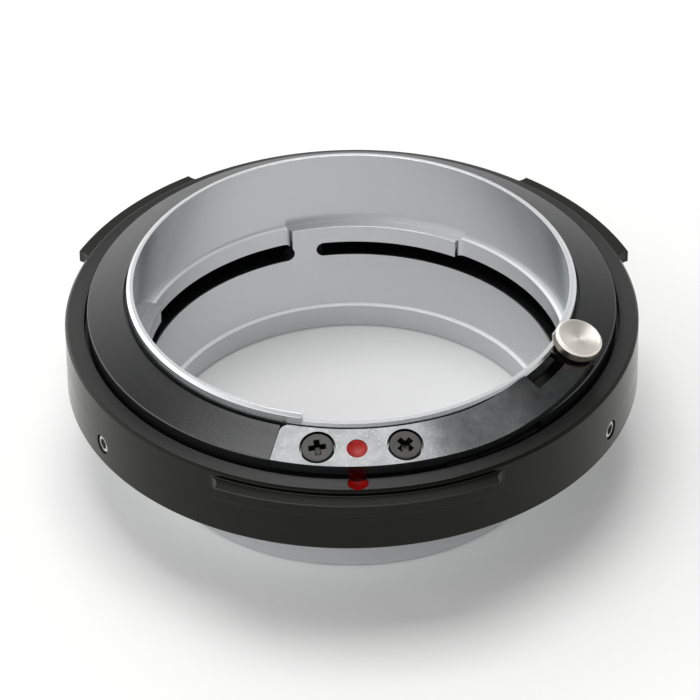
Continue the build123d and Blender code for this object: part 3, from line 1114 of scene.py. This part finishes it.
@dataclass
class BayonetTube:
    """The plated tube with its lip, lugs, slots, shoulder and foot."""

    layout: Layout
    lip_top: float = 17.38
    rim_top: float = 16.68
    lip_bevel: float = 0.27
    rim_bevel: float = 0.2
    rim_sector: Sector = (256.3, 333.9)
    lug_radius: float = 18.0
    lug_top: float = 10.25
    entry_ledge: float = 0.36
    entries: tuple[Sector, ...] = ((4.6, 58.0), (106.1, 158.7), (242.9, 296.9))
    slots: tuple[Sector, ...] = ((4.2, 99.1), (105.5, 201.0), (242.5, 339.0))
    shoulder: float = 22.2
    shoulder_bottom: float = 5.9
    neck_bottom: float = 4.0
    foot_radius: float = 17.85
    foot_bore: float = 16.85
    foot_height: float = 2.5
    ledge: float = 2.3
    ledge_width: float = 0.36
    button_room: float = 2.185
    button_floor: float = 0.2
    presses: tuple[float, ...] = (0.0, 0.5, 1.0)
    # Bounds of the ledge faces that get the painted highlight finish.
    ledge_highlight_tilt: float = 0.25
    ledge_highlight_reach: float = 0.2
    ledge_highlight_share: float = 1.2
    lip_round: float = 0.05
    fine_round: float = 0.03
    shoulder_rounds: tuple[float, float] = (0.06, 0.1)
    neck_round: float = 0.3
    foot_rounds: tuple[float, float] = (0.2, 0.25)
    ledge_round: float = 0.15
    lug_round: float = 0.07
    edge_break: float = 0.06
    rim_steps: int = 77
    entry_steps: int = 60
    slot_steps: int = 120
    slot_sides: int = 48

    def outline(self) -> list[Corner]:
        """Section of the tube before its cuts.

        Returns:
            The corners, from the lip down the outside and up the inside.
        """
        size = self.layout
        upper, lower = self.shoulder_rounds
        heel, toe = self.foot_rounds
        ledge_end = self.foot_bore + self.ledge_width
        return [Corner(size.throat, self.lip_top, self.lip_round),
                Corner(size.tube - self.lip_bevel, self.lip_top, self.fine_round),
                Corner(size.tube, self.lip_top - self.lip_bevel, self.fine_round),
                Corner(size.tube, size.shoulder_top), Corner(self.shoulder, size.shoulder_top, upper),
                Corner(self.shoulder, self.shoulder_bottom, lower), Corner(size.tube, self.shoulder_bottom),
                Corner(size.tube, self.neck_bottom, self.neck_round),
                Corner(self.foot_radius, self.foot_height, heel), Corner(self.foot_radius, 0.0, toe),
                Corner(self.foot_bore, 0.0, self.fine_round),
                Corner(self.foot_bore, self.ledge, self.ledge_round), Corner(ledge_end, self.ledge),
                Corner(self.lug_radius, size.slot_bottom),
                Corner(self.lug_radius, self.lug_top, self.lug_round), Corner(size.throat, self.lug_top)]

    @staticmethod
    def milled(arc: Sequence[Corner], sectors: Iterable[Sector], turn: float, steps: int,
               end_mill: Callable[[float], Mesh]) -> tuple[list[Mesh], list[Mesh]]:
        """Arcs that a round cutter mills, and the rounds that it leaves at their ends.

        Args:
            arc: Section of the arcs.
            sectors: First and last angle of each arc, rounds included.
            turn: Half the cutter's width, as an angle.
            steps: Number of steps of each arc.
            end_mill: Makes the cutter at an angle.

        Returns:
            The arcs and the rounds.
        """
        spans = [(start + turn, end - turn) for start, end in sectors]
        arcs = [turned(arc, span, steps) for span in spans]
        return arcs, [end_mill(angle) for span in spans for angle in span]

    def entry_cutters(self) -> tuple[list[Mesh], list[Mesh]]:
        """Arcs between the lugs that let the lens in, and the rounds of their cutter.

        Returns:
            The arcs and the rounds.
        """
        size = self.layout
        wall = size.throat - self.entry_ledge
        cutter = wall - self.lug_radius
        low, high = (size.slot_bottom + size.slot_top) / 2, self.lug_top + OVERCUT
        arc = box(self.lug_radius - OVERCUT, wall, low, high)

        def end_mill(angle: float) -> Mesh:
            """The upright cutter at an angle."""
            return rod(Matrix.Translation(polar(self.lug_radius, angle, 0.0)), cutter, high, low)

        return self.milled(arc, self.entries, degrees(cutter / self.lug_radius), self.entry_steps, end_mill)

    def slot_cutters(self) -> tuple[list[Mesh], list[Mesh]]:
        """Arcs of the slots, and the round ends that an end mill leaves.

        Returns:
            The arcs and the rounds.
        """
        size = self.layout
        half = (size.slot_top - size.slot_bottom) / 2
        inner, outer = self.lug_radius - OVERCUT, size.tube + OVERCUT
        arc = box(inner, outer, size.slot_bottom, size.slot_top)

        def end_mill(angle: float) -> Mesh:
            """The lying cutter at an angle."""
            place = radial(inner, angle, size.slot_bottom + half)
            return rod(place, half, outer - inner, 0.0, self.slot_sides)

        return self.milled(arc, self.slots, degrees(half / self.lug_radius), self.slot_steps, end_mill)

    def is_painted_highlight_edge(self, face: Face) -> bool:
        """Whether a face lies on a broken edge inside the tube, which gets a painted highlight.

        Args:
            face: The face.

        Returns:
            True on the foot's ledge and on the ledges of the entries.
        """
        middle = face.calc_center_median() / MM
        radius = middle.xy.length
        if face.normal.z < self.ledge_highlight_tilt:
            return False
        on_foot = (abs(middle.z - self.ledge) < self.ledge_highlight_reach
                   and self.foot_bore - self.ledge_highlight_reach < radius < self.foot_bore + self.ledge_width)
        on_entry = (abs(middle.z - self.lug_top) < self.ledge_highlight_reach
                    and radius > self.layout.throat - self.ledge_highlight_share * self.entry_ledge)
        return on_foot or on_entry

    def build(self) -> Piece:
        """Turn the tube, cut its lip down, and mill its entries and slots.

        Returns:
            The tube.
        """
        size = self.layout
        tube = as_object(turned(self.outline(), round_steps=5), "bayonet_tube_plated")
        inside, outside = size.throat - OVERCUT, size.tube + OVERCUT
        step = box(inside, outside, self.rim_top, self.lip_top + OVERCUT)
        cut(tube, [turned(step, self.rim_sector, self.rim_steps)])
        inner, outer = size.tube - 2 * self.rim_bevel, size.tube + self.rim_bevel
        high = self.rim_top + self.rim_bevel
        edge = [Corner(inner, high), Corner(outer, self.rim_top - 2 * self.rim_bevel), Corner(outer, high)]
        cut(tube, [turned(edge, self.rim_sector, self.rim_steps)])
        for cutters in (*self.entry_cutters(), *self.slot_cutters()):
            cut(tube, cutters)
        seat = size.seat(size.button_place, size.button_angle)
        for pressed in self.presses:
            place = size.bent(1.0 - pressed * size.button_swing / size.bend_angle) @ seat
            cut(tube, [rod(place, self.button_room, 3 * OVERCUT, self.button_floor, FINE_SIDES)])
        soften(tube, self.edge_break, segments=3)
        # The foot's ledge and the entry ledges get the near-white finish, a painted highlight.
        marked(tube, self.is_painted_highlight_edge)
        dressed(tube, (SATIN_PLATE, PAINTED_HIGHLIGHT_EDGE), Slot.PLATED, "bayonet_tube")
        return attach(tube, Body.MAIN.value)


@dataclass
class SlotBlacking:
    """Dull black on the floors of the tube's slots."""

    layout: Layout
    inner: float = 18.14
    outer: float = 19.56
    thickness: float = 0.02
    sectors: tuple[Sector, ...] = ((6.4, 96.9), (107.7, 198.8), (244.7, 336.8))
    steps: int = 90

    def build(self) -> Piece:
        """Lay a thin coat over each slot's floor.

        Returns:
            The coat.
        """
        floor = self.layout.slot_bottom
        outline = box(self.inner, self.outer, floor - self.thickness, floor + self.thickness)
        coats = joined(turned(outline, sector, self.steps) for sector in self.sectors)
        coat = dressed(as_object(coats, "slot_blacking"), (BLACK_FACE,), Slot.BLACK_FACE)
        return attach(coat, Body.MAIN.value)


@dataclass
class LockLeaf:
    """The leaf spring of the lens lock."""

    layout: Layout
    arm_start: float = 289.0
    corner: float = 0.8
    notch: Sector = (317.5, 328.7)
    notch_depth: float = 1.6
    screw_hole: float = 0.73
    counterbore: float = 1.54
    counterbore_depth: float = 0.62
    button_hole: float = 0.83
    bend_reach: float = 30.0
    hinge_reach: float = 9.0
    edge_break: float = 0.045
    leaf_steps: int = 175
    arm_steps: int = 101
    edge_steps: int = 75
    notch_steps: int = 23
    end_steps: int = 13
    sink_sides: int = 72

    def build(self) -> Piece:
        """Cut the leaf to its outline, drill it, and spring its arm up.

        Returns:
            The leaf.
        """
        size = self.layout
        end_radius = size.button_place - size.leaf_inner
        tip = size.button_angle + degrees(end_radius / size.leaf_inner)
        leaf = as_object(turned(size.layer(size.leaf_inner, size.face, size.leaf_thickness, 0.0),
                                (size.leaf_start, tip), self.leaf_steps), "lock_leaf")
        inside, outside = size.leaf_inner - OVERCUT, size.face + OVERCUT
        under = size.leaf_thickness + OVERCUT
        cut(leaf, [turned(size.layer(inside, outside, under, size.arm_thickness),
                          (self.arm_start, tip + OVERCUT), self.arm_steps)])
        edge = as_object(turned(size.layer(size.face - OVERCUT, outside, under, -OVERCUT),
                                (size.taper_start, tip + OVERCUT), self.edge_steps), "edge")
        cut(edge, [size.taper(0.0, size.ring_bottom, size.cone(inside) + 2 * OVERCUT)])
        cut(leaf, [taken(edge)])
        notch = size.layer(inside, size.leaf_inner + self.notch_depth, under, -OVERCUT)
        cut(leaf, [turned(notch, self.notch, self.notch_steps)])
        seat = size.seat(size.button_place, size.button_angle)
        waste = as_object(turned(size.layer(inside, outside, under, -OVERCUT),
                                 (size.button_angle, tip + 2 * OVERCUT), self.end_steps), "waste")
        cut(waste, [rod(seat, end_radius, 3 * OVERCUT, -under - OVERCUT, FINE_SIDES)])
        cut(leaf, [taken(waste)])
        holes = [rod(seat, self.button_hole, OVERCUT, -under)]
        sinks = []
        for angle in size.screw_angles:
            place = size.seat(size.screw_place, angle)
            holes.append(rod(place, self.screw_hole, OVERCUT, -under))
            sinks.append(rod(place, self.counterbore, OVERCUT, -self.counterbore_depth, self.sink_sides))
        dimple = size.seat(size.screw_place, size.index_angle)
        sinks.append(rod(dimple, size.dot_radius, OVERCUT, -size.dot_depth))
        cut(leaf, holes)
        cut(leaf, sinks)
        self.round_corner(leaf)
        soften(leaf, self.edge_break)
        for vert in leaf.data.vertices:
            angle = degrees(Vector((1, 0)).angle_signed(vert.co.xy)) * -1 % FULL_TURN
            share = (angle - size.bend_place) / self.bend_reach + 0.5
            share = min(max(share, 0.0), 1.0)
            vert.co = size.bent(share * share * (3 - 2 * share)) @ vert.co
        dressed(leaf, (SPRING_STEEL,), Slot.SPRING, "lock_spring")
        start, end = (polar(size.button_place, size.bend_place + reach, size.cone(size.button_place))
                      for reach in (-self.hinge_reach, self.hinge_reach))
        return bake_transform(leaf)

    def round_corner(self, leaf: Piece) -> None:
        """Round the inner corner of the leaf's root.

        Args:
            leaf: The leaf.
        """
        size = self.layout
        reach = self.corner + OVERCUT
        place = size.seat(size.leaf_inner, size.leaf_start)
        block = bmesh.new()
        centre = Matrix.Translation(Vector((self.corner - reach / 2, reach / 2 - self.corner, 0.0)) * MM)
        scale = Matrix.Diagonal((reach * MM, reach * MM, 2 * reach * MM, 1.0))
        bmesh.ops.create_cube(block, size=1.0, matrix=place @ centre @ scale)
        waste = as_object(block, "waste")
        core = place @ Matrix.Translation(Vector((self.corner, -self.corner, 0.0)) * MM)
        cut(waste, [rod(core, self.corner, 2 * reach, -2 * reach, FINE_SIDES)])
        cut(leaf, [taken(waste)])


@dataclass
class ReleaseButton:
    """The dished button on the leaf's free end."""

    layout: Layout
    radius: float = 2.085
    height: float = 0.97
    edge: float = 0.2
    dish: float = 0.34
    neck_radius: float = 1.3
    neck_height: float = 0.3
    shank: float = 0.8
    upright: float = 0.3
    peen_radius: float = 1.1
    peen_height: float = 0.25
    dish_round: float = 0.05
    edge_round: float = 0.06
    under_round: float = 0.08
    peen_round: float = 0.1

    def finish(self, place: Matrix) -> TurnedFinish:
        """Bright plating whose turning marks run round the button's own axis."""
        turn = place.to_euler("XYZ")
        return TurnedFinish("bright button plating", dark=(0.70, 0.67, 0.62), pale=(0.77, 0.74, 0.685),
                            metallic=1.0, rough=(0.38, 0.46), pitch=0.00007, relief=0.14, grain=0.2,
                            grain_size=0.0002, anisotropy=0.5, centre=tuple(place.translation),
                            turn=tuple(turn))

    def build(self) -> Piece:
        """Turn the button and set it on the leaf.

        Returns:
            The button.
        """
        size = self.layout
        top = self.neck_height + self.height
        under = -size.arm_thickness
        outline = [Corner(0.0, top - self.dish), Corner(self.radius - self.edge, top, self.dish_round),
                   Corner(self.radius, top - self.edge, self.edge_round),
                   Corner(self.radius, self.neck_height, self.under_round),
                   Corner(self.neck_radius, self.neck_height), Corner(self.neck_radius, 0.0),
                   Corner(self.shank, 0.0), Corner(self.shank, under), Corner(self.peen_radius, under),
                   Corner(self.peen_radius, under - self.peen_height, self.peen_round),
                   Corner(0.0, under - self.peen_height)]
        mesh = turned(outline, steps=128)
        place = size.bent(1.0) @ size.seat(size.button_place, size.button_angle)
        bmesh.ops.transform(mesh, matrix=place, verts=mesh.verts[:])
        axis = place.to_3x3() @ Vector((0.0, 0.0, 1.0))
        # The button's side faces get a darker, browner copy of the plating: painted shade.
        mark(mesh, lambda face: abs(face.normal.dot(axis)) < self.upright)
        button = as_object(mesh, "lock_release_button")
        top_finish = self.finish(place)
        shaded_side_finish = replace(top_finish, name="button side plating with painted shade", dark=(0.46, 0.425, 0.37),
                              pale=(0.54, 0.5, 0.44), rough=(0.28, 0.34), anisotropy=0.0)
        dressed(button, (top_finish, shaded_side_finish), Slot.BUTTON, "release_button")
        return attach(button, Body.BUTTON.value)


@dataclass
class RootScrews:
    """The two cross-head screws through the leaf's root."""

    layout: Layout
    head_radius: float = 1.38
    head_height: float = 0.6
    rim: float = 0.12
    shank: float = 0.7
    length: float = 2.4
    cross_length: float = 2.3
    cross_width: float = 0.58
    cross_depth: float = 0.62
    tapers: tuple[float, float] = (0.3, 0.7)
    recess: float = 0.98
    rim_steps: int = 4
    edge_break: float = 0.025
    turns: tuple[float, float] = (14.0, 38.0)

    def screw(self, angle: float, turn: float) -> Mesh:
        """One screw with its tapered cross recess.

        Args:
            angle: Place round the axis.
            turn: Turn of the recess in its head.

        Returns:
            The closed mesh.
        """
        seat = -self.head_height
        mesh = rod(Matrix.Identity(4), self.head_radius, 0.0, seat, FINE_SIDES)
        rim = [edge for edge in mesh.edges if all(vert.co.z > -self.rim * MM for vert in edge.verts)]
        bevel(mesh, rim, self.rim, self.rim_steps)
        underside = min(mesh.faces, key=lambda face: face.calc_center_median().z)
        bmesh.ops.inset_individual(mesh, faces=[underside], thickness=(self.head_radius - self.shank) * MM)
        stem = bmesh.ops.extrude_discrete_faces(mesh, faces=[underside])["faces"][0]
        bmesh.ops.translate(mesh, verts=stem.verts[:], vec=(0, 0, -(self.length + seat) * MM))
        blank = as_object(mesh, "screw")
        for quarter in (0.0, QUARTER_TURN):
            wing = bmesh.new()
            spin = Matrix.Rotation(radians(quarter + turn), 4, "Z")
            size = Vector((self.cross_length, self.cross_width, 2 * self.cross_depth)) * MM
            bmesh.ops.create_cube(wing, size=1.0, matrix=Matrix.Diagonal((*size, 1.0)))
            foot = [vert for vert in wing.verts if vert.co.z < 0]
            bmesh.ops.scale(wing, vec=(*self.tapers, 1.0), verts=foot)
            bmesh.ops.transform(wing, matrix=spin, verts=wing.verts[:])
            cut(blank, [wing])
        soften(blank, self.edge_break)
        mesh = taken(blank)
        # Faces inside the cross recess get the near-black finish, as painted shade.
        deep = -self.rim / 2 * MM
        mark(mesh, lambda face: (face.calc_center_median().xy.length < self.recess * MM
                                 and seat * MM < face.calc_center_median().z < deep))
        place = self.layout.seat(self.layout.screw_place, angle)
        bmesh.ops.transform(mesh, matrix=place, verts=mesh.verts[:])
        return mesh

    def build(self) -> Piece:
        """Make both screws as one piece.

        Returns:
            The piece.
        """
        screws = joined(map(self.screw, self.layout.screw_angles, self.turns))
        screws = as_object(screws, "root_screws")
        dressed(screws, (BLACKED_STEEL, PAINTED_SHADE_RECESS), Slot.SCREW, "plate_screws")
        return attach(screws, Body.MAIN.value)


@dataclass
class ClampScrews:
    """The three headless screws in the outer ring's wall."""

    layout: Layout
    radius: float = 0.84
    length: float = 1.6
    socket: float = 0.5
    socket_depth: float = 0.7
    rounds: tuple[float, float] = (0.1, 0.15)
    socket_sides: int = 6
    edge_break: float = 0.03

    def build(self) -> Piece:
        """Make the screws as one piece, each with a hexagon socket.

        Returns:
            The piece.
        """
        inner, outer = self.rounds
        floor = self.length - self.socket_depth
        outline = [Corner(0.0, 0.0), Corner(self.radius, 0.0, inner), Corner(self.radius, self.length, outer),
                   Corner(0.0, self.length)]
        screws = []
        for angle in self.layout.grub_angles:
            blank = as_object(turned(outline, steps=ROUND_SIDES), "grub")
            key = rod(Matrix.Identity(4), self.socket, self.length + OVERCUT, floor, self.socket_sides)
            cut(blank, [key])
            soften(blank, self.edge_break)
            mesh = taken(blank)
            place = radial(self.layout.ring_bore - self.layout.fit, angle, self.layout.grub_height)
            bmesh.ops.transform(mesh, matrix=place, verts=mesh.verts[:])
            screws.append(mesh)
        piece = as_object(joined(screws), "clamp_screws")
        dressed(piece, (GRUB_STEEL,), Slot.SCREW, "grub_screws")
        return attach(piece, Body.MAIN.value)


@dataclass
class IndexDots:
    """Paint in the two index dimples, hollowed as it dries, with painted shade on the ring dot's inner half.
    """

    layout: Layout
    fill: float = 0.44
    hollow: float = 0.4
    run: float = 0.3
    shade_offset: float = 0.5
    film: float = 0.02
    run_width: float = 0.9

    def dot(self, place: Matrix, name: str, node: str, finishes: Sequence[PaintFinish],
            extra: Sequence[Mesh] = ()) -> Piece:
        """One drop of paint.

        Args:
            place: Place of the dimple's mouth.
            name: Name of the piece.
            node: Solid that it stands for.
            finishes: Its paint, and a darker copy on its inner half as painted shade, if it has one.
            extra: Paint outside the dimple.

        Returns:
            The piece.
        """
        size = self.layout
        low = -size.dot_depth
        top = low + self.fill
        outline = [Corner(0.0, low), Corner(size.dot_radius, low), Corner(size.dot_radius, top),
                   Corner(0.0, top - self.hollow)]
        mesh = turned(outline, steps=ROUND_SIDES)
        bmesh.ops.transform(mesh, matrix=place, verts=mesh.verts[:])
        whole = joined([mesh, *extra])
        if len(finishes) > 1:
            # The inner half, next to the leaf, gets the darker copy of the paint: painted shade.
            thin = place.translation.y + self.shade_offset * MM
            parts = [*whole.verts, *whole.edges, *whole.faces]
            bmesh.ops.bisect_plane(whole, geom=parts, plane_co=(0.0, thin, 0.0),
                                   plane_no=(0.0, 1.0, 0.0))
            mark(whole, lambda face: face.calc_center_median().y > thin)
        piece = as_object(whole, name)
        dressed(piece, finishes, Slot.PAINT, node)
        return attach(piece, Body.MAIN.value)

    def smear(self) -> Mesh:
        """Paint of the ring's dot that ran up the leaf's side, in the darker paint that is painted shade.

        Returns:
            The closed mesh.
        """
        size = self.layout
        flat = Matrix.Diagonal((self.run_width, self.run / size.dot_radius, 1.0, 1.0))
        place = radial(size.face, size.index_angle, size.ring_top + self.film)
        return rod(place @ flat, size.dot_radius, self.film, -self.film)

    def build(self) -> list[Piece]:
        """Fill both dimples.

        Returns:
            The leaf's dot and the ring's dot.
        """
        size = self.layout
        leaf = size.seat(size.screw_place, size.index_angle)
        ring = Matrix.Translation(polar(size.ring_dot_place, size.index_angle, size.ring_top))
        return [self.dot(leaf, "leaf_dot", "plate_index_dot", (RED_PAINT,)),
                self.dot(ring, "ring_dot", "ring_index_dot", (DARK_RED_PAINT, SHADED_RED_PAINT),
                         [self.smear()])]


@dataclass
class Studio:
    """Floor, lights and camera of the picture."""

    elevation: float = 36.64
    turn: float = -0.8
    roll: float = -0.774
    distance: float = 511.98
    target: float = 13.9
    aim: tuple[float, float] = (0.00037431, 0.00627843)
    lens: float = 302.14
    floor_colour: Colour = (0.84, 0.84, 0.835)
    floor_gap: float = 0.02
    floor_half: float = 3.0
    floor_dimming: float = 0.99
    floor_rough: float = 0.5
    floor_gloss: float = 0.3
    sensor: float = 36.0
    lamp_way: tuple[float, float, float] = (-0.06, 0.2, 0.97)
    lamp_distance: float = 0.7
    lamp_size: float = 0.43
    lamp_power: float = 2.3
    sky: tuple[tuple[float, float], ...] = ((0.0, 0.87), (0.25, 0.78), (0.45, 0.62), (0.58, 0.5),
                                            (0.72, 0.3), (0.85, 0.17), (1.0, 0.17))
    sky_scale: float = 1.8
    sky_left: float = 1.28
    sky_right: float = 0.6
    sky_reach: float = 0.5

    def camera_place(self) -> Matrix:
        """Place and aim of the camera, as the photograph's own.

        Returns:
            The camera's matrix.
        """
        slope = radians(self.elevation)
        out = Vector((0, -cos(slope), sin(slope)))
        right = Vector((1, 0, 0))
        up = Vector((0, sin(slope), cos(slope)))
        back = (out + right * self.aim[0] + up * self.aim[1]).normalized()
        right = (right - back * right.dot(back)).normalized()
        up = back.cross(right)
        lean = radians(self.roll)
        right, up = right * cos(lean) + up * sin(lean), up * cos(lean) - right * sin(lean)
        matrix = Matrix((right, up, back)).transposed().to_4x4()
        matrix.translation = out * self.distance * MM + Vector((0, 0, self.target * MM))
        return Matrix.Rotation(radians(self.turn), 4, "Z") @ matrix

    def light(self) -> None:
        """Hang a soft lamp overhead, inside pale surroundings that fade upwards."""
        data = bpy.data.lights.new("soft lamp", "AREA")
        data.shape = "SQUARE"
        data.size = self.lamp_size
        data.energy = self.lamp_power
        lamp = bpy.data.objects.new("soft lamp", data)
        way = Vector(self.lamp_way).normalized()
        facing = way.to_track_quat("Z", "Y").to_matrix().to_4x4()
        lamp.matrix_world = Matrix.Translation(way * self.lamp_distance) @ facing
        bpy.context.scene.collection.objects.link(lamp)
        world = bpy.data.worlds.new("studio")
        world.use_nodes = True
        world.node_tree.nodes.clear()
        bench = Bench(world.node_tree)
        way = bench.add("ShaderNodeTexCoord").outputs["Generated"]
        parts = bench.add("ShaderNodeSeparateXYZ", {0: way}).outputs
        ramp = bench.add("ShaderNodeValToRGB", {0: parts[2]})
        steps = ramp.color_ramp.elements
        while len(steps) < len(self.sky):
            steps.new(1.0)
        for step, (place, tone) in zip(steps, self.sky):
            step.position = place
            step.color = (tone, tone, tone, 1.0)
        side = bench.spread(parts[0], (-self.sky_reach, self.sky_reach), (self.sky_left, self.sky_right))
        strength = bench.math("MULTIPLY", side, self.sky_scale)
        sky = bench.add("ShaderNodeBackground", {"Color": ramp.outputs[0], "Strength": strength})
        bench.add("ShaderNodeOutputWorld", {"Surface": sky.outputs[0]})
        bpy.context.scene.world = world

    def build(self) -> None:
        """Lay the floor, hang the lamp and set the camera."""
        plane = bmesh.new()
        bmesh.ops.create_grid(plane, x_segments=1, y_segments=1, size=self.floor_half,
                              matrix=Matrix.Translation((0.0, 0.0, -self.floor_gap * MM)))
        floor = as_object(plane, "floor")
        material, bench, shader, position = new_material("pale floor")
        noise = bench.noise({"Vector": position, "Scale": 30.0, "Detail": 2.0})
        dim = tuple(value * self.floor_dimming for value in self.floor_colour)
        tone = bench.blend(bench.spread(noise, MIDDLE), rgba(dim), rgba(self.floor_colour))
        bench.fill(shader, {"Base Color": tone, "Roughness": self.floor_rough,
                            "Specular IOR Level": self.floor_gloss})
        floor.data.materials.append(material)
        self.light()
        data = bpy.data.cameras.new("camera")
        data.lens = self.lens
        data.sensor_width = self.sensor
        data.clip_start = 0.01
        data.clip_end = 20.0
        camera = bpy.data.objects.new("camera", data)
        camera.matrix_world = self.camera_place()
        bpy.context.scene.collection.objects.link(camera)
        bpy.context.scene.camera = camera
        view = bpy.context.scene.view_settings
        view.view_transform = "Standard"
        view.look = "Medium High Contrast"


def main() -> None:
    """Build the pieces in order, then the studio."""
    logging.basicConfig(level=logging.INFO, format="%(message)s")
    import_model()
    layout = Layout()
    makers = (BayonetTube(layout), SlotBlacking(layout), FaceRing(layout), OuterRing(layout),
              LockLeaf(layout), RootScrews(layout), ClampScrews(layout), IndexDots(layout),
              ReleaseButton(layout))
    for maker in makers:
        made = maker.build()
        for piece in made if isinstance(made, list) else [made]:
            LOG.info("built %s with %d faces", piece.name, len(piece.data.polygons))
    Studio().build()


if __name__ == "__main__":
    main()
